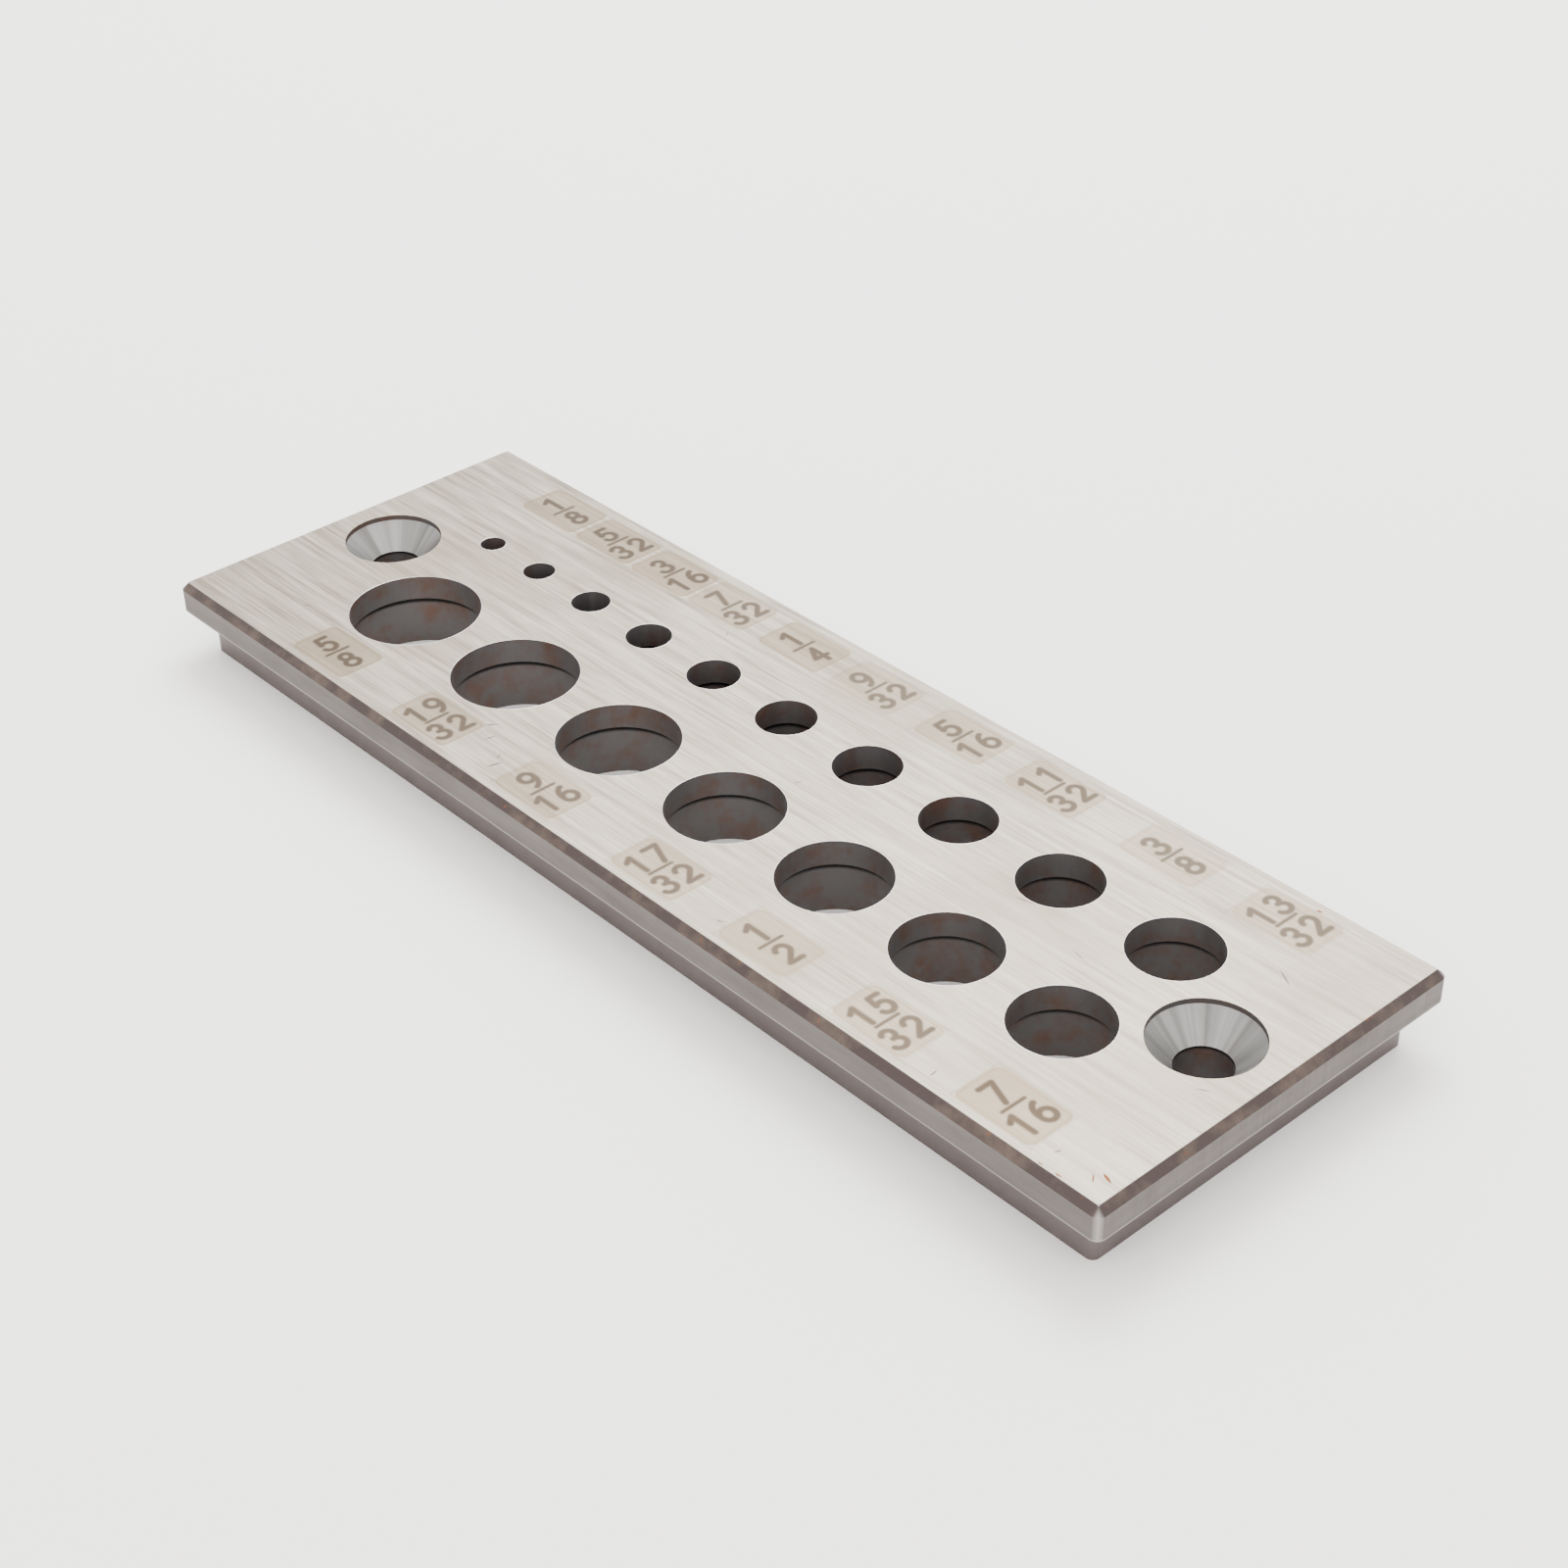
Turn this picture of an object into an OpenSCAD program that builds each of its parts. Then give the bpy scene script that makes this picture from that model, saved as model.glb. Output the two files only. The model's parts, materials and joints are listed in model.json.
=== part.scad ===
// Dowel plate: a hardened steel plate with a row of small and a row of large
// sized holes. Blanks are driven down through them to bring them to size.
// Millimetres. Origin at the centre of the underside, +X along the length, away
// from the smallest and the largest hole, +Z up through the holes.

/* [Plate] */
// Overall length
plate_l = 152.4; // [140:0.1:200]
// Overall width
plate_w = 50.8; // [46:0.1:70]
// Overall thickness, top face to underside
plate_t = 9.525; // [8:0.005:14]
// Thickness of the flange that stands out round the top
flange_t = 3.75; // [2:0.05:5]
// How far the flange stands out past the block on every side
flange_overhang = 2.6; // [0.5:0.1:5]
// Leg of the 45 degree chamfer round the top face
edge_chamfer = 0.85; // [0.2:0.05:1]
// Radius of the flange's upright corners
flange_corner_r = 1.1; // [1:0.1:3]
// Radius of the block's upright corners
block_corner_r = 0.9; // [0.3:0.1:3]

/* [Dowel holes] */
// Smallest size, in thirty-seconds of an inch
smallest_size = 4; // [2:1:8]
// Largest size in the back row, in thirty-seconds of an inch
back_row_largest = 13; // [12:1:15]
// Largest size in the front row, in thirty-seconds of an inch
largest_size = 20; // [17:1:20]
// Distance between the centre lines of the two rows
row_spacing = 16.5; // [15:0.1:24]
// From the plate's left end to the rim of each row's first hole
row_start = 17.7; // [14:0.1:24]
// From the plate's right end to the centre of each row's last hole
row_end = 20.65; // [19:0.05:26]
// Depth of the sized land at the top of each hole
land_t = 3.1; // [1.5:0.05:5]
// How much wider than its land each hole is below it, on the radius
relief = 0.6; // [0.2:0.05:1]

/* [Screw holes] */
// From each end of the plate to the screw hole's centre
screw_inset = 9.525; // [8:0.005:12]
// Diameter of the hole for the screw's shank
screw_d = 6.1; // [3:0.1:7]
// Diameter of the countersink at the top face
head_d = 12; // [8:0.1:14]
// Straight rim above the countersink's cone
head_rim = 0.65; // [0.1:0.05:1]
// Full angle of the countersink's cone
head_angle = 90; // [82:1:100]

/* [Hidden] */
size_unit = 25.4 / 32;
block_t = plate_t - flange_t;
block_l = plate_l - 2 * flange_overhang;
block_w = plate_w - 2 * flange_overhang;
steel_ground = [0.80, 0.78, 0.75];
steel_dark = [0.52, 0.48, 0.46];
// A cutter runs this far past the face that it starts from
past = 1;
$fn = 96;

function radius(size) = size * size_unit / 2;
function sum(list, i = 0) = i < len(list) ? list[i] + sum(list, i + 1) : 0;

// Equal walls between one row's holes, from the room that its sizes leave
function wall(sizes) =
    let (taken = sum([for (s = sizes) 2 * radius(s)]) - radius(sizes[len(sizes) - 1]))
    (plate_l - row_start - row_end - taken) / (len(sizes) - 1);

// Centre of hole i, counted from the left end
function centre_x(sizes, i) =
    -plate_l / 2 + row_start + i * wall(sizes)
    + sum([for (k = [0 : 1 : i]) 2 * radius(sizes[k])]) - radius(sizes[i]);

back_sizes = [for (s = [smallest_size : back_row_largest]) s];
front_sizes = [for (s = [largest_size : -1 : back_row_largest + 1]) s];
screw_x = plate_l / 2 - screw_inset;
cone_depth = (head_d - screw_d) / 2 / tan(head_angle / 2);

// Flat outline with rounded corners, centred
module rounded_outline(l, w, r) {
    square([l - 2 * r, w], center = true);
    square([l, w - 2 * r], center = true);
    for (x = [-1, 1], y = [-1, 1])
        translate([x * (l / 2 - r), y * (w / 2 - r)]) circle(r);
}

module rounded_plate(l, w, t, r) {
    linear_extrude(t) rounded_outline(l, w, r);
}

// Places its children at every hole of one row, with the size in $size
module along_row(sizes, y) {
    for (i = [0 : len(sizes) - 1]) {
        $size = sizes[i];
        translate([centre_x(sizes, i), y, 0]) children();
    }
}

module at_all_sizes() {
    along_row(back_sizes, row_spacing / 2) children();
    along_row(front_sizes, -row_spacing / 2) children();
}

module at_screws() {
    for (x = [-screw_x, screw_x]) translate([x, 0, 0]) children();
}

// One sized hole: the land, then the wider relief down through the underside
module dowel_cut() {
    translate([0, 0, plate_t - land_t - past]) cylinder(r = radius($size), h = land_t + 2 * past);
    translate([0, 0, -past]) cylinder(r = radius($size) + relief, h = plate_t - land_t + past);
}

// Shank hole, cone and straight rim, turned as one profile
module screw_cut() {
    rotate_extrude() polygon([
        [0, -past],
        [screw_d / 2, -past],
        [screw_d / 2, plate_t - head_rim - cone_depth],
        [head_d / 2, plate_t - head_rim],
        [head_d / 2, plate_t + past],
        [0, plate_t + past]
    ]);
}

module all_cuts() {
    at_all_sizes() dowel_cut();
    at_screws() screw_cut();
}

// Straight-sided prism with the top edges of its two long sides chamfered
module ridge(length, width, t, chamfer) {
    translate([-length / 2, 0, 0]) rotate([90, 0, 90]) linear_extrude(length) polygon([
        [-width / 2, 0],
        [width / 2, 0],
        [width / 2, t - chamfer],
        [width / 2 - chamfer, t],
        [-width / 2 + chamfer, t],
        [-width / 2, t - chamfer]
    ]);
}

// Plate with upright corners of radius r and a chamfer all round its top
module chamfered_plate(l, w, t, r, chamfer) {
    ridge(l - 2 * r, w, t, chamfer);
    rotate([0, 0, 90]) ridge(w - 2 * r, l, t, chamfer);
    for (x = [-1, 1], y = [-1, 1]) translate([x * (l / 2 - r), y * (w / 2 - r), 0]) {
        cylinder(r = r, h = t - chamfer);
        translate([0, 0, t - chamfer]) cylinder(r1 = r, r2 = r - chamfer, h = chamfer);
    }
}

// Top level: the ground face, the chamfer, the flange and the sized lands
module flange_plate() {
    color(steel_ground) difference() {
        translate([0, 0, block_t])
            chamfered_plate(plate_l, plate_w, flange_t, flange_corner_r, edge_chamfer);
        all_cuts();
    }
}

// Lower level: the block that drops into a recess, with the wider reliefs
module base_block() {
    color(steel_dark) difference() {
        rounded_plate(block_l, block_w, block_t, block_corner_r);
        all_cuts();
    }
}

flange_plate();
base_block();
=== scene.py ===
import json
import math
import bpy
import numpy as np
from mathutils import Euler, Matrix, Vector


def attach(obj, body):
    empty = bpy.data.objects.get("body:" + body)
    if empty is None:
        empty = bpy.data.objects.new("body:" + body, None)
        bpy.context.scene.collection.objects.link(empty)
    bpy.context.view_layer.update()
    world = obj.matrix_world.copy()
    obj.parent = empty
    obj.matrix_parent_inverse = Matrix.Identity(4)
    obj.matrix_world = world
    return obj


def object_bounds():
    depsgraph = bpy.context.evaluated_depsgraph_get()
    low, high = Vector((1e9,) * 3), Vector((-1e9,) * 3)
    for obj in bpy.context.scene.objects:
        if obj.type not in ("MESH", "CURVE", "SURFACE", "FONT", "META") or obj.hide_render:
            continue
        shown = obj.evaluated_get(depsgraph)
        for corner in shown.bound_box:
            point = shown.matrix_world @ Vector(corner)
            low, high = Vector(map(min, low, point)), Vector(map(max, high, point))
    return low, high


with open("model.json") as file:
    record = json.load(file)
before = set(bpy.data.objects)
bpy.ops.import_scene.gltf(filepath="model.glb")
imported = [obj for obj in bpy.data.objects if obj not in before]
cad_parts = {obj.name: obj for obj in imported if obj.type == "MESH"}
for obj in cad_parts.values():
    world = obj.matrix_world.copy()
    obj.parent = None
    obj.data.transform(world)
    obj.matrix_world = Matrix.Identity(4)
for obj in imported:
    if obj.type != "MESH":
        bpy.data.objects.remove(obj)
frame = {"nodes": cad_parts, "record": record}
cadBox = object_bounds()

mm = 0.001
halfLength, halfWidth, topZ = cadBox[1]


# small helpers

def linear(hexCode):
    # sRGB hex to the linear colour that a shader takes
    parts = [int(hexCode[i:i + 2], 16) / 255 for i in (1, 3, 5)]
    return tuple(c / 12.92 if c <= 0.04045 else ((c + 0.055) / 1.055) ** 2.4 for c in parts) + (1.0,)


def addNode(tree, kind, links=None, **settings):
    # one node with its settings; an input given as a socket is linked, anything else is a value
    node = tree.nodes.new(kind)
    for key, value in settings.items():
        setattr(node, key, value)
    for key, value in (links or {}).items():
        if isinstance(value, bpy.types.NodeSocket):
            tree.links.new(value, node.inputs[key])
        else:
            node.inputs[key].default_value = value
    return node


def newMaterial(name):
    material = bpy.data.materials.new(name)
    material.use_nodes = True
    material.node_tree.nodes.clear()
    return material, material.node_tree


def meshPiece(name, vertices, faces, material):
    # a smooth mesh straight from arrays, at the origin, riding on the one body
    mesh = bpy.data.meshes.new(name)
    mesh.from_pydata(vertices.tolist(), [], faces)
    mesh.polygons.foreach_set("use_smooth", [True] * len(mesh.polygons))
    mesh.update()
    piece = bpy.data.objects.new(name, mesh)
    bpy.context.scene.collection.objects.link(piece)
    mesh.materials.append(material)
    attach(piece, "root")
    return piece


# the plate's own layout, from the record's mounts

holes = []
for mount in frame["record"]["mounts"]:
    if mount["name"].startswith("dowel_hole"):
        holes.append({
            "size": int(mount["name"].split("_")[2]),  # in thirty-seconds of an inch
            "x": mount["pos_m"][0],
            "y": mount["pos_m"][1],
            "r": mount["dims"]["r_mm"] * mm})
    elif mount["kind"] == "bolt_pattern":
        screwX = mount["dims"]["spacing_x_mm"] * mm / 2
print("layout:", len(holes), "sized holes")


# what the materials share

still = 1.0  # a pattern a metre long in one direction hardly changes along it


def noisePattern(tree, place, pattern):
    # noise whose blobs have the real size given along X, Y and Z, cut to the range: nothing below its
    # first value, the full strength above its second
    sized = addNode(tree, "ShaderNodeMapping", {
        "Vector": place, "Scale": tuple(1 / s for s in pattern["size"])})
    noise = addNode(tree, "ShaderNodeTexNoise", {
        "Vector": sized.outputs[0], "Scale": 1.0, "Detail": pattern["detail"],
        "Roughness": pattern["rough"]})
    low, high = pattern["range"]
    return addNode(tree, "ShaderNodeMapRange", {
        "Value": noise.outputs[0], "From Min": low, "From Max": high,
        "To Max": pattern["strength"]}).outputs[0]


def pastOutline(tree, xyz, inset, joined):
    # how far a point lies outside the plate's outline drawn in by inset: the larger of the two
    # directions for the band all round, the smaller for the corners alone
    reaches = []
    for axis, half in enumerate((halfLength, halfWidth)):
        size = addNode(tree, "ShaderNodeMath", {0: xyz.outputs[axis]}, operation="ABSOLUTE").outputs[0]
        reaches.append(addNode(tree, "ShaderNodeMath", {
            0: size, 1: half - inset}, operation="SUBTRACT").outputs[0])
    return addNode(tree, "ShaderNodeMath", {0: reaches[0], 1: reaches[1]}, operation=joined).outputs[0]


wallLook = {
    "steel": "#656262",
    "rust": "#6A4A3A",
    "shadow": "#090808",
    "shadowTop": 3.09 * mm,  # below the top face, where the land ends
    "shadowFull": 3.75 * mm,
    "shadowEnd": 4.1 * mm,
    "shadowStrength": 0.95}


def drilledWall(tree, height, rusted):
    # drilled steel, a plain grey with brown where rust has started; the step under the sized land lies
    # in deep shadow, which is painted as a dark line round the hole
    look = wallLook
    wall = addNode(tree, "ShaderNodeMix", {
        0: rusted, 6: linear(look["steel"]), 7: linear(look["rust"])}, data_type="RGBA").outputs[2]
    fading = addNode(tree, "ShaderNodeMapRange", {
        "Value": height, "From Min": topZ - look["shadowEnd"], "From Max": topZ - look["shadowFull"],
        "To Max": look["shadowStrength"]}).outputs[0]
    underLand = addNode(tree, "ShaderNodeMath", {
        0: height, 1: topZ - look["shadowTop"]}, operation="LESS_THAN").outputs[0]
    shadow = addNode(tree, "ShaderNodeMath", {0: fading, 1: underLand}, operation="MULTIPLY").outputs[0]
    return addNode(tree, "ShaderNodeMix", {
        0: shadow, 6: wall, 7: linear(look["shadow"])}, data_type="RGBA").outputs[2]


# the flange plate's steel

groundLook = {
    "tones": {
        "light": "#A0978A",
        "dark": "#6C6458",
        "smudge": "#6E6556",
        "pit": "#463D3B",
        "stain": "#6B5B45",
        "ink": "#33271A",
        "chamfer": "#463D3B",
        "chamferWarm": "#695B52",
        "rust": "#8A4A20",
        "side": "#5F5957",
        "sideLight": "#7A7470",
        # bare metal with a painted highlight, laid on the corners and the flange's lower edge
        "bareAndHighlight": "#A8A5A1",
        "coneDark": "#524F4D",
        "cone": "#8F8E8C"},
    "lines": {
        "size": (22 * mm, 0.3 * mm, still), "detail": 5.0, "rough": 0.65,
        "range": (0.0, 1.0), "strength": 1.0},
    "bands": {
        "size": (16.7 * mm, 1.11 * mm, still), "detail": 3.0, "rough": 0.6,
        "range": (0.0, 1.0), "strength": 1.0},
    "smudges": {
        "size": (22.2 * mm,) * 3, "detail": 4.0, "rough": 0.55,
        "range": (0.52, 0.75), "strength": 0.45},
    "scale": {
        "size": (3.85 * mm,) * 3, "detail": 6.0, "rough": 0.6,
        "range": (0.45, 0.8), "strength": 1.0},
    "flecks": {
        "size": (2.38 * mm,) * 3, "detail": 3.0, "rough": 0.6,
        "range": (0.66, 0.74), "strength": 0.8},
    "sideLines": {
        "size": (11.1 * mm, 11.1 * mm, 2 * mm), "detail": 4.0, "rough": 0.6,
        "range": (0.35, 0.8), "strength": 0.6},
    "lineSum": (0.75, 1.25),  # lines and bands together, from the dark to the light tone
    "pitSpacing": 4.17 * mm,
    "pitChance": 0.72,  # the share of places that have no pit
    "pitSize": 0.07,  # the largest pit's radius, as a share of the spacing
    "pitStrength": 0.6,
    "streaks": {"perRadian": 2.5, "detail": 4.0, "rough": 0.5, "range": (0.2, 0.6)},
    "flat": (0.9, 0.98),  # how far a normal points up: on the flat top, and on a slope
    "slope": (0.25, 0.45),
    "chamferLeg": 0.85 * mm,
    "chamferBlur": 0.05 * mm,
    # the corners and the flange's lower edge take the bare tone, a painted highlight on rubbed metal
    "cornerInset": 1.2 * mm,
    "cornerRange": (0.35 * mm, 0.9 * mm),
    "cornerStrength": 0.7,
    "lowerEdge": (3.5 * mm, 3.72 * mm),  # below the top face
    "lowerEdgeStrength": 0.6,
    "metallic": 0.85,
    "roughDull": 0.5,
    "roughBright": 0.36,
    "roughLines": 0.12,
    "bumpStrength": 0.25,
    "bumpHeight": 0.02 * mm}


def groundSteel():
    # surface-ground hardened steel: fine lines along the length, a satin that brightens with the light,
    # dark heat scale left on the chamfer and sides, grey drilled walls, bright turned cones
    look = groundLook
    material, tree = newMaterial("ground_hardened_steel")
    coords = addNode(tree, "ShaderNodeTexCoord")
    place = coords.outputs["Object"]
    xyz = addNode(tree, "ShaderNodeSeparateXYZ", {0: place})
    height = xyz.outputs[2]
    upward = addNode(tree, "ShaderNodeSeparateXYZ", {0: coords.outputs["Normal"]}).outputs[2]

    # grinding lines and broader bands, both drawn out along X
    lines = noisePattern(tree, place, look["lines"])
    bands = noisePattern(tree, place, look["bands"])
    both = addNode(tree, "ShaderNodeMath", {0: lines, 1: bands}, operation="ADD").outputs[0]
    lineTone = addNode(tree, "ShaderNodeMapRange", {
        "Value": both, "From Min": look["lineSum"][0], "From Max": look["lineSum"][1]}).outputs[0]

    # a few small dark pits, scattered over the face
    cells = addNode(tree, "ShaderNodeTexVoronoi", {"Vector": place, "Scale": 1 / look["pitSpacing"]})
    pitSize = addNode(tree, "ShaderNodeMapRange", {
        "Value": cells.outputs["Color"], "From Min": look["pitChance"],
        "To Max": look["pitSize"]}).outputs[0]
    inPit = addNode(tree, "ShaderNodeMath", {
        0: cells.outputs["Distance"], 1: pitSize}, operation="LESS_THAN").outputs[0]
    pits = addNode(tree, "ShaderNodeMath", {
        0: inPit, 1: look["pitStrength"]}, operation="MULTIPLY").outputs[0]

    # the size marks' own pieces carry how strong the stain and the ink are
    stain = addNode(tree, "ShaderNodeAttribute", attribute_name="stain").outputs["Fac"]
    ink = addNode(tree, "ShaderNodeAttribute", attribute_name="ink").outputs["Fac"]

    # which surface a point is on: the band outside the chamfer's upper edge, the flat top, or a slope
    band = pastOutline(tree, xyz, look["chamferLeg"], "MAXIMUM")
    outer = addNode(tree, "ShaderNodeMapRange", {
        "Value": band, "From Max": look["chamferBlur"]}).outputs[0]
    flat = addNode(tree, "ShaderNodeMapRange", {
        "Value": upward, "From Min": look["flat"][0], "From Max": look["flat"][1]}).outputs[0]
    slope = addNode(tree, "ShaderNodeMapRange", {
        "Value": upward, "From Min": look["slope"][0], "From Max": look["slope"][1]}).outputs[0]

    # heat scale, rust flecks, and the two places rubbed back to bare metal and lightened with a painted
    # highlight: corners and lower edge
    scale = noisePattern(tree, place, look["scale"])
    flecks = noisePattern(tree, place, look["flecks"])
    sideLines = noisePattern(tree, place, look["sideLines"])
    corner = pastOutline(tree, xyz, look["cornerInset"], "MINIMUM")
    rubbedAndHighlit = addNode(tree, "ShaderNodeMapRange", {
        "Value": corner, "From Min": look["cornerRange"][0], "From Max": look["cornerRange"][1],
        "To Max": look["cornerStrength"]}).outputs[0]
    lowerEdge = addNode(tree, "ShaderNodeMapRange", {
        "Value": height, "From Min": topZ - look["lowerEdge"][0], "From Max": topZ - look["lowerEdge"][1],
        "To Max": look["lowerEdgeStrength"]}).outputs[0]

    # the cones' streaks run down the slope, so they vary with the angle round the screw hole only
    fromScrew = addNode(tree, "ShaderNodeMath", {
        0: addNode(tree, "ShaderNodeMath", {0: xyz.outputs[0]}, operation="ABSOLUTE").outputs[0],
        1: screwX}, operation="SUBTRACT").outputs[0]
    angle = addNode(tree, "ShaderNodeMath", {
        0: xyz.outputs[1], 1: fromScrew}, operation="ARCTAN2").outputs[0]
    turned = look["streaks"]
    wave = addNode(tree, "ShaderNodeTexNoise", {
        "W": angle, "Scale": turned["perRadian"], "Detail": turned["detail"],
        "Roughness": turned["rough"]}, noise_dimensions="1D").outputs[0]
    streaks = addNode(tree, "ShaderNodeMapRange", {
        "Value": wave, "From Min": turned["range"][0], "From Max": turned["range"][1]}).outputs[0]

    # each row lays its third tone over its second, through the mask in front
    tone = {name: linear(hexCode) for name, hexCode in look["tones"].items()}
    tone["wall"] = drilledWall(tree, height, scale)
    for mask, below, above, result in (
            (lineTone, "dark", "light", "ground"),
            (noisePattern(tree, place, look["smudges"]), "ground", "smudge", "ground"),
            (pits, "ground", "pit", "ground"),
            (stain, "ground", "stain", "ground"),
            (ink, "ground", "ink", "ground"),
            (scale, "chamfer", "chamferWarm", "chamfer"),
            (flecks, "chamfer", "rust", "chamfer"),
            (sideLines, "side", "sideLight", "side"),
            # the flange's lower edge: bare metal with a painted highlight
            (lowerEdge, "side", "bareAndHighlight", "side"),
            (slope, "side", "chamfer", "band"),
            # the corners: bare metal with a painted highlight
            (rubbedAndHighlit, "band", "bareAndHighlight", "band"),
            (streaks, "coneDark", "cone", "cone"),
            (slope, "wall", "cone", "inside"),
            (outer, "inside", "band", "worked"),
            (flat, "worked", "ground", "all")):
        tone[result] = addNode(tree, "ShaderNodeMix", {
            0: mask, 6: tone[below], 7: tone[above]}, data_type="RGBA").outputs[2]

    # the top, the chamfer and the cones are smoother than the upright sides and walls
    roughBase = addNode(tree, "ShaderNodeMapRange", {
        "Value": slope, "To Min": look["roughDull"], "To Max": look["roughBright"]}).outputs[0]
    rough = addNode(tree, "ShaderNodeMath", {
        0: lineTone, 1: look["roughLines"], 2: roughBase}, operation="MULTIPLY_ADD").outputs[0]
    relief = addNode(tree, "ShaderNodeMath", {0: lines, 1: flat}, operation="MULTIPLY").outputs[0]
    bump = addNode(tree, "ShaderNodeBump", {
        "Strength": look["bumpStrength"], "Distance": look["bumpHeight"], "Height": relief}).outputs[0]
    shader = addNode(tree, "ShaderNodeBsdfPrincipled", {
        "Base Color": tone["all"], "Metallic": look["metallic"], "Roughness": rough, "Normal": bump})
    addNode(tree, "ShaderNodeOutputMaterial", {"Surface": shader.outputs[0]})
    return material


# the base block's steel

blockLook = {
    "scale": "#6B6261",
    "low": "#4F4544",
    "mottle": {
        "size": (3.33 * mm,) * 3, "detail": 6.0, "rough": 0.6,
        "range": (0.0, 1.0), "strength": 1.0},
    "wallRange": (0.45, 0.8),
    "lowHeight": 3.5 * mm,
    "rim": 3.4 * mm,  # what lies nearer than this to the plate's outline is the block's outer side
    "metallic": 0.7,
    "rough": 0.5,
    "bumpStrength": 0.2,
    "bumpHeight": 0.03 * mm}


def darkSteel():
    # the same steel left as milled and heat-treated: brown-grey scale, darker towards the underside,
    # and in the holes the same drilled grey as above
    look = blockLook
    material, tree = newMaterial("milled_scaled_steel")
    place = addNode(tree, "ShaderNodeTexCoord").outputs["Object"]
    xyz = addNode(tree, "ShaderNodeSeparateXYZ", {0: place})
    height = xyz.outputs[2]
    mottle = noisePattern(tree, place, look["mottle"])
    low = addNode(tree, "ShaderNodeMapRange", {
        "Value": height, "From Min": look["lowHeight"], "From Max": 0.0}).outputs[0]
    lowMottle = addNode(tree, "ShaderNodeMath", {0: low, 1: mottle}, operation="MULTIPLY").outputs[0]
    side = addNode(tree, "ShaderNodeMix", {
        0: lowMottle, 6: linear(look["scale"]), 7: linear(look["low"])}, data_type="RGBA").outputs[2]
    rusted = addNode(tree, "ShaderNodeMapRange", {
        "Value": mottle, "From Min": look["wallRange"][0], "From Max": look["wallRange"][1]}).outputs[0]
    wall = drilledWall(tree, height, rusted)
    past = pastOutline(tree, xyz, look["rim"], "MAXIMUM")
    outside = addNode(tree, "ShaderNodeMath", {0: past, 1: 0.0}, operation="GREATER_THAN").outputs[0]
    colour = addNode(tree, "ShaderNodeMix", {0: outside, 6: wall, 7: side}, data_type="RGBA").outputs[2]
    bump = addNode(tree, "ShaderNodeBump", {
        "Strength": look["bumpStrength"], "Distance": look["bumpHeight"], "Height": mottle}).outputs[0]
    shader = addNode(tree, "ShaderNodeBsdfPrincipled", {
        "Base Color": colour, "Metallic": look["metallic"], "Roughness": look["rough"], "Normal": bump})
    addNode(tree, "ShaderNodeOutputMaterial", {"Surface": shader.outputs[0]})
    return material


ground = groundSteel()
for nodeName, material in (("flange_plate", ground), ("base_block", darkSteel())):
    node = frame["nodes"][nodeName]
    node.data.materials.clear()
    node.data.materials.append(material)
print("materials: done")


# size marks: fractions etched beside each hole

marks = {
    "width": 6.25 * mm,
    "length": 10.2 * mm,
    "corner": 0.9 * mm,
    "digitHeight": 3.1 * mm,
    "digitWidth": 0.62,  # as a share of the height
    "digitGap": 0.92 * mm,
    "strokeHalf": 0.36 * mm,
    "barHalfWidth": 0.23 * mm,
    "barHalfLength": 1.5 * mm,
    "barLift": 0.1 * mm,
    "barGap": 0.78 * mm,  # from the mark's middle to each number
    "blur": 0.11 * mm,
    "inkFade": 0.3,  # the share of its ink that the faintest mark would lose
    "stainBase": 0.7,
    "tide": 0.35,  # how much stronger the stain is along its edge
    "tideInset": 0.2 * mm,
    "tideWidth": 0.16 * mm,
    "pitch": 0.12 * mm,
    "margin": 5,  # grid points past the stain
    "lift": 0.004 * mm,
    "depth": 0.05 * mm,
    "arcPoints": 40,
    "linePoints": 24,
    "backY": 19.9 * mm,
    "frontY": -20.4 * mm,
    # for each size, where its mark lies along the plate in millimetres, and how strongly it took
    "places": {
        4: (-57.3, 0.75), 5: (-46.5, 0.8), 6: (-35.6, 0.8), 7: (-24.9, 0.6), 8: (-12.1, 0.75),
        9: (0.2, 0.45), 10: (14.1, 0.6), 11: (28.1, 0.6), 12: (44.9, 0.45), 13: (60.2, 0.5),
        14: (60.9, 0.8), 15: (44.0, 0.6), 16: (27.1, 0.6), 17: (9.9, 0.6), 18: (-10.1, 0.6),
        19: (-29.5, 0.65), 20: (-49.2, 0.8)}}


def arc(cx, cy, rx, ry, start, end):
    # points along an ellipse's arc, angles in degrees
    t = np.radians(np.linspace(start, end, marks["arcPoints"]))
    return np.stack([cx + rx * np.cos(t), cy + ry * np.sin(t)], 1)


def line(*corners):
    # points along straight runs between the corners
    corners = np.array(corners, float)
    t = np.linspace(0, 1, marks["linePoints"])[:, None]
    return np.concatenate([a + (b - a) * t for a, b in zip(corners[:-1], corners[1:])])


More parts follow.
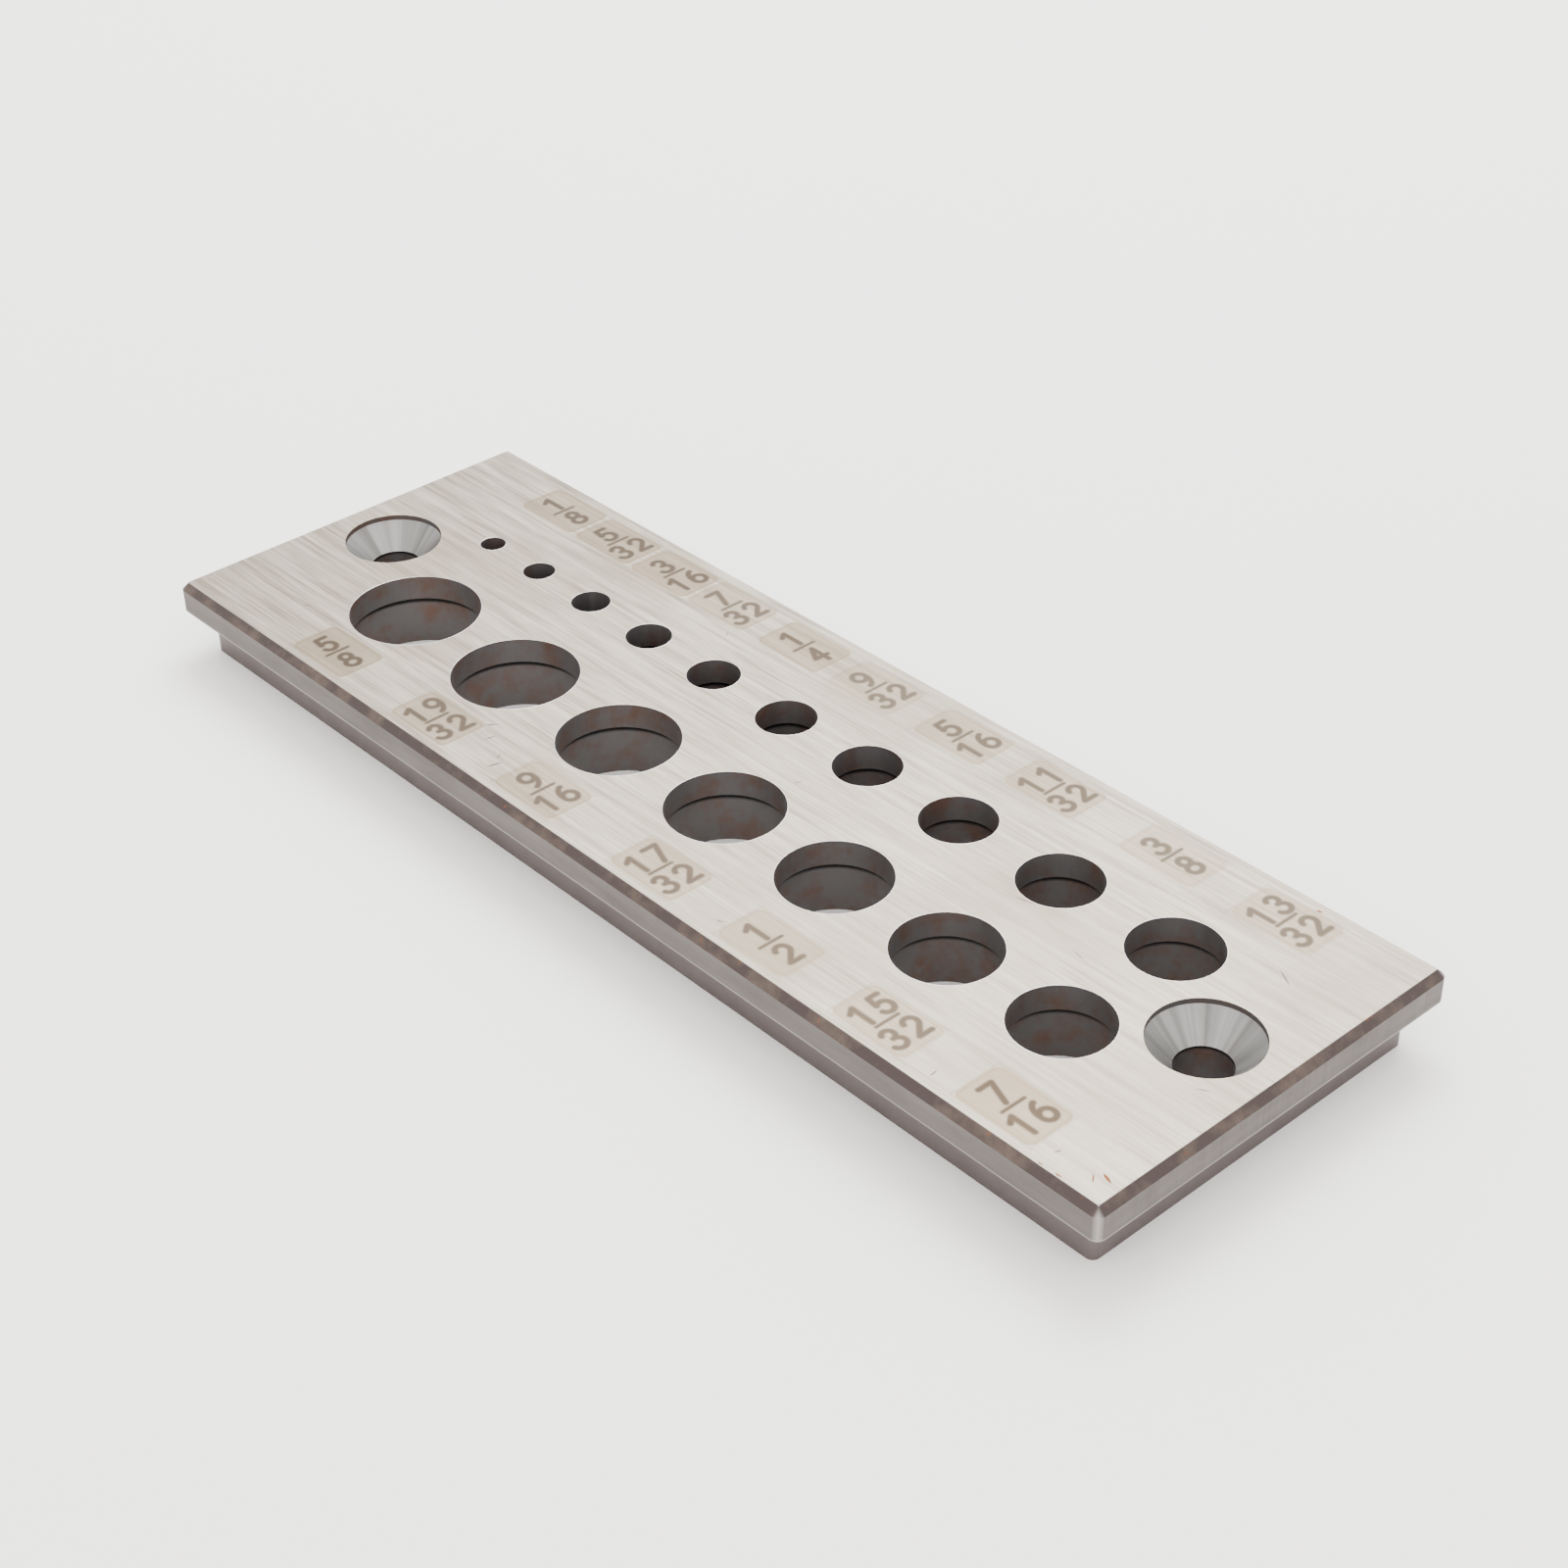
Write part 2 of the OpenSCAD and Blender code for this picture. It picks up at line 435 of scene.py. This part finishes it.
# each digit's strokes, in a box one high and marks["digitWidth"] wide
digitStrokes = {
    "1": [line((0.10, 0.76), (0.36, 0.97), (0.36, 0.0))],
    "2": [arc(0.30, 0.69, 0.25, 0.28, 165, -28), line((0.52, 0.55), (0.05, 0.03), (0.58, 0.03))],
    "3": [arc(0.29, 0.74, 0.22, 0.23, 155, -90), arc(0.29, 0.26, 0.27, 0.25, 90, -160)],
    "4": [line((0.42, 0.0), (0.42, 0.97), (0.03, 0.30), (0.60, 0.30))],
    "5": [line((0.53, 0.97), (0.13, 0.97), (0.08, 0.52)), arc(0.29, 0.31, 0.27, 0.29, 138, -155)],
    "6": [arc(0.31, 0.29, 0.26, 0.28, 0, 360), arc(0.47, 0.40, 0.42, 0.58, 180, 105)],
    "7": [line((0.03, 0.97), (0.57, 0.97), (0.22, 0.0))],
    "8": [arc(0.31, 0.74, 0.21, 0.23, 0, 360), arc(0.31, 0.26, 0.27, 0.25, 0, 360)],
    "9": [arc(0.31, 0.70, 0.26, 0.28, 0, 360), arc(0.15, 0.59, 0.42, 0.58, 0, -75)]}


def numberStrokes(text, base):
    # a number's digits side by side, centred, standing on base
    look = marks
    advance = look["digitWidth"] * look["digitHeight"] + look["digitGap"]
    start = (look["digitGap"] - advance * len(text)) / 2
    return np.concatenate([
        np.concatenate(digitStrokes[digit]) * look["digitHeight"] + [start + i * advance, base]
        for i, digit in enumerate(text)])


def fractionText(size):
    # a size in thirty-seconds, in its lowest terms
    top, bottom = size, 32
    while top % 2 == 0:
        top, bottom = top // 2, bottom // 2
    return str(top), str(bottom)


def sizeMark(hole):
    # a closed slab as thin as a stain: a grid on top carries ink and stain, and its base is sunk in the
    # plate. ink is 1 within half a stroke of the nearest stroke, fading over the blur; stain is 1 inside
    # a rounded rectangle, stronger along its edge, fading over the blur
    look = marks
    centreX, strength = look["places"][hole["size"]]
    centreY = look["backY"] if hole["y"] > 0 else look["frontY"]
    countU = int(look["width"] / look["pitch"]) + look["margin"]
    countV = int(look["length"] / look["pitch"]) + look["margin"]
    u = (np.arange(countU) - (countU - 1) / 2) * look["pitch"]
    v = (np.arange(countV) - (countV - 1) / 2) * look["pitch"]
    gridU, gridV = (grid.ravel() for grid in np.meshgrid(u, v))
    numerator, denominator = fractionText(hole["size"])
    strokes = np.concatenate([
        numberStrokes(numerator, look["barGap"]),
        numberStrokes(denominator, -look["barGap"] - look["digitHeight"])])
    distance = np.hypot(gridU[:, None] - strokes[:, 0], gridV[:, None] - strokes[:, 1]).min(1)
    barDistance = np.hypot(np.maximum(np.abs(gridU) - look["barHalfLength"], 0), gridV - look["barLift"])
    reach = np.minimum(distance - look["strokeHalf"], barDistance - look["barHalfWidth"])
    ink = np.clip(0.5 - reach / (2 * look["blur"]), 0, 1) * (1 - look["inkFade"] * (1 - strength))
    insideU = np.abs(gridU) - (look["width"] / 2 - look["corner"])
    insideV = np.abs(gridV) - (look["length"] / 2 - look["corner"])
    border = np.hypot(np.maximum(insideU, 0), np.maximum(insideV, 0)) - look["corner"]
    border += np.minimum(np.maximum(insideU, insideV), 0)
    tide = np.exp(-((border + look["tideInset"]) / look["tideWidth"]) ** 2)
    stain = np.clip(0.5 - border / (2 * look["blur"]), 0, 1)
    stain *= (look["stainBase"] + look["tide"] * tide) * strength
    # the mark is turned a quarter: u runs along +Y and v along -X
    vertices = np.stack([
        centreX * mm - gridV, centreY + gridU, np.full(gridU.size, topZ + look["lift"])], 1)
    index = np.arange(countU * countV).reshape(countV, countU)
    faces = np.stack([index[:-1, :-1], index[:-1, 1:], index[1:, 1:], index[1:, :-1]], -1).reshape(-1, 4)
    # the grid's rim dips into the face, and the same points again close the slab below
    rim = np.concatenate([index[0, :-1], index[:-1, -1], index[-1, :0:-1], index[:0:-1, 0]])
    vertices[rim, 2] = topZ - look["lift"]
    under = len(vertices) + np.arange(len(rim))
    skirt = np.stack([np.roll(rim, -1), rim, under, np.roll(under, -1)], -1)
    piece = meshPiece(
        "size_mark_" + numerator + "_" + denominator,
        np.concatenate([vertices, vertices[rim] - [0, 0, look["depth"]]]),
        faces.tolist() + skirt.tolist() + [under[::-1].tolist()], ground)
    for name, values in (("ink", ink), ("stain", stain)):
        attribute = piece.data.attributes.new(name, "FLOAT", "POINT")
        attribute.data.foreach_set("value", np.concatenate([values, values[rim]]).astype(np.float32))


for hole in holes:
    sizeMark(hole)
print("size marks: done")


# the thin bright lip round each hole

lips = {
    "colour": "#D8D5D0",
    "rough": 0.25,
    "tube": 0.055 * mm,
    "swell": 0.2,  # how much the tube's radius varies round the hole
    "lobes": 3,
    "shift": 900,  # turns the lobes differently at each hole, in radians to a metre
    "out": 0.03 * mm,
    "sink": 0.025 * mm,
    "sides": 6,
    "steps": 120}


def polishedBurr():
    # the raised lip left by grinding: bare and polished, so it catches the light as a thin white line
    material, tree = newMaterial("polished_burr")
    shader = addNode(tree, "ShaderNodeBsdfPrincipled", {
        "Base Color": linear(lips["colour"]), "Metallic": 1.0, "Roughness": lips["rough"]})
    addNode(tree, "ShaderNodeOutputMaterial", {"Surface": shader.outputs[0]})
    return material


def lipRings():
    # a small circle carried round each hole's edge, all holes at once: distance from the hole's middle
    # = its radius + out + tube * cos(roll), height = top - sink + tube * sin(roll)
    look = lips
    turn = np.linspace(0, 2 * math.pi, look["steps"], endpoint=False)[None, :, None]
    roll = np.linspace(0, 2 * math.pi, look["sides"], endpoint=False)[None, None, :]
    centreX, centreY, radius = (np.array([h[key] for h in holes])[:, None, None] for key in ("x", "y", "r"))
    lobes = np.sin(look["lobes"] * turn + centreX * look["shift"])
    tube = look["tube"] * (1 - look["swell"] + look["swell"] * lobes)
    out = radius + look["out"] + tube * np.cos(roll)
    vertices = np.stack([
        centreX + out * np.cos(turn), centreY + out * np.sin(turn),
        topZ - look["sink"] + tube * np.sin(roll)], -1).reshape(-1, 3)
    index = np.arange(len(vertices)).reshape(len(holes), look["steps"], look["sides"])
    ahead = np.roll(index, -1, 1)
    faces = np.stack([index, ahead, np.roll(ahead, -1, 2), np.roll(index, -1, 2)], -1).reshape(-1, 4)
    meshPiece("hole_lips", vertices, faces.tolist(), polishedBurr())


lipRings()
print("hole lips: done")


# nicks and specks: small dark dents in the ground face, and specks of rust

nicks = {
    "dirt": "#241E1A",
    "dirtRough": 0.7,
    "rust": "#8A4A20",
    "rustRough": 0.85,
    "metallic": 0.3,
    "mottle": {
        "size": (0.4 * mm,) * 3, "detail": 2.0, "rough": 0.5,
        "range": (0.0, 1.0), "strength": 0.3},
    "stations": 9,
    "tip": 0.01 * mm,
    "crown": 0.008 * mm,
    "rimDepth": 0.01 * mm,
    "keel": 0.03 * mm,
    # x, y, length and half width in millimetres, and degrees from +X
    "dents": (
        (-24.3, -16.9, 2.2, 0.2, 60), (-22.2, -18.4, 1.3, 0.16, 80), (-17.6, -21.3, 1.8, 0.22, 75),
        (-18.6, -20.0, 0.9, 0.14, 110), (20.9, -21.8, 1.0, 0.14, 20), (39.6, 3.1, 2.4, 0.13, 12),
        (-60.5, -17.0, 1.2, 0.12, 40), (-20.5, 15.2, 0.9, 0.12, 120), (8.0, 0.6, 1.0, 0.12, 65),
        (49.5, 0.5, 1.8, 0.1, 170), (66.0, 12.5, 2.8, 0.12, 150), (71.5, -6.0, 1.5, 0.12, 30),
        (52.5, -22.6, 1.2, 0.12, 95), (68.0, -22.0, 0.9, 0.12, 70)),
    "specks": (
        (73.5, -21.4, 1.5, 0.34, 160), (72.6, -22.3, 1.2, 0.16, 130), (61.5, 23.4, 0.8, 0.3, 10),
        (70.2, -24.3, 0.9, 0.2, 0), (68.0, -24.35, 0.7, 0.16, 0))}


def dents(name, places, material):
    # each dent is a closed flat spindle whose half width is wide * (1 - t^2) along its length, all at
    # once. At each station there are four points: one rim, the crown just above the face, the other
    # rim, and the keel below; the rims lie just under the face
    look = nicks
    units = [mm, mm, mm, mm, math.radians(1)]
    x, y, length, wide, turn = (np.array(places) * units).T[:, :, None, None]
    t = np.linspace(-1, 1, look["stations"])[None, :, None]
    along = t * length / 2
    across = (wide * (1 - t * t) + look["tip"]) * np.array([1, 0, -1, 0])
    heights = topZ + np.array([-look["rimDepth"], look["crown"], -look["rimDepth"], -look["keel"]])
    vertices = np.stack([
        x + along * np.cos(turn) - across * np.sin(turn),
        y + along * np.sin(turn) + across * np.cos(turn),
        np.broadcast_to(heights, across.shape)], -1).reshape(-1, 3)
    index = np.arange(len(vertices)).reshape(len(places), look["stations"], 4)
    after = np.roll(index, -1, 2)
    sides = np.stack([index[:, :-1], after[:, :-1], after[:, 1:], index[:, 1:]], -1).reshape(-1, 4)
    faces = np.concatenate([sides, index[:, 0, ::-1], index[:, -1]])
    meshPiece(name, vertices, faces.tolist(), material)


def dentMaterial(name, hexCode, rough):
    # a dent holds dirt or rust, so it is dull and dark
    material, tree = newMaterial(name)
    place = addNode(tree, "ShaderNodeTexCoord").outputs["Object"]
    colour = addNode(tree, "ShaderNodeMix", {
        0: noisePattern(tree, place, nicks["mottle"]), 6: linear(hexCode),
        7: linear(groundLook["tones"]["dark"])}, data_type="RGBA").outputs[2]
    shader = addNode(tree, "ShaderNodeBsdfPrincipled", {
        "Base Color": colour, "Metallic": nicks["metallic"], "Roughness": rough})
    addNode(tree, "ShaderNodeOutputMaterial", {"Surface": shader.outputs[0]})
    return material


dents("face_nicks", nicks["dents"], dentMaterial("dirt_in_nicks", nicks["dirt"], nicks["dirtRough"]))
dents("rust_specks", nicks["specks"], dentMaterial("light_rust", nicks["rust"], nicks["rustRough"]))
print("nicks: done")


# floor, light and camera

studio = {
    "floor": "#F4F3F1",
    "floorRough": 0.9,
    "floorSize": 6.0,
    "sky": "#FFFDFA",
    "skyLow": 1.6,
    "skyHigh": 3.0,
    "skyTop": 0.9,  # how far up a ray points where the sky is at its brightest
    # name, place in metres, power in watts, and size in metres
    "lights": (
        ("key", (-0.35, 0.45, 0.75), 14.0, 0.55),
        ("fill", (0.6, -0.7, 0.5), 4.0, 0.8)),
    "lens": 63.66,
    "sensor": 36.0,
    "nearest": 0.01,
    "cameraPlace": (193.291 * mm, -164.474 * mm, 181.115 * mm),
    "cameraTurn": (55.3005, 1.0439, 47.9328)}  # in degrees


def buildStudio():
    look = studio
    bpy.ops.mesh.primitive_plane_add(size=look["floorSize"], location=(0, 0, 0))
    floor = bpy.context.object
    floor.name = "floor"
    material, tree = newMaterial("pale_floor")
    shader = addNode(tree, "ShaderNodeBsdfPrincipled", {
        "Base Color": linear(look["floor"]), "Roughness": look["floorRough"]})
    addNode(tree, "ShaderNodeOutputMaterial", {"Surface": shader.outputs[0]})
    floor.data.materials.append(material)

    # a soft sky, brighter overhead than at the horizon, so that sloping metal shows its form
    world = bpy.data.worlds.new("studio")
    bpy.context.scene.world = world
    world.use_nodes = True
    tree = world.node_tree
    ray = addNode(tree, "ShaderNodeSeparateXYZ", {
        0: addNode(tree, "ShaderNodeTexCoord").outputs["Generated"]})
    power = addNode(tree, "ShaderNodeMapRange", {
        "Value": ray.outputs[2], "From Max": look["skyTop"], "To Min": look["skyLow"],
        "To Max": look["skyHigh"]}).outputs[0]
    tree.nodes["Background"].inputs[0].default_value = linear(look["sky"])
    tree.links.new(power, tree.nodes["Background"].inputs[1])

    for name, place, watts, size in look["lights"]:
        data = bpy.data.lights.new(name, "AREA")
        data.energy = watts
        data.size = size
        light = bpy.data.objects.new(name, data)
        bpy.context.scene.collection.objects.link(light)
        light.location = place
        light.rotation_euler = (-light.location).to_track_quat("-Z", "Y").to_euler()

    camera = bpy.data.objects.new("camera", bpy.data.cameras.new("camera"))
    bpy.context.scene.collection.objects.link(camera)
    camera.data.lens = look["lens"]
    camera.data.sensor_width = look["sensor"]
    camera.data.clip_start = look["nearest"]
    turn = Euler([math.radians(angle) for angle in look["cameraTurn"]])
    camera.matrix_world = Matrix.Translation(look["cameraPlace"]) @ turn.to_matrix().to_4x4()
    bpy.context.scene.camera = camera


buildStudio()
print("studio: done")
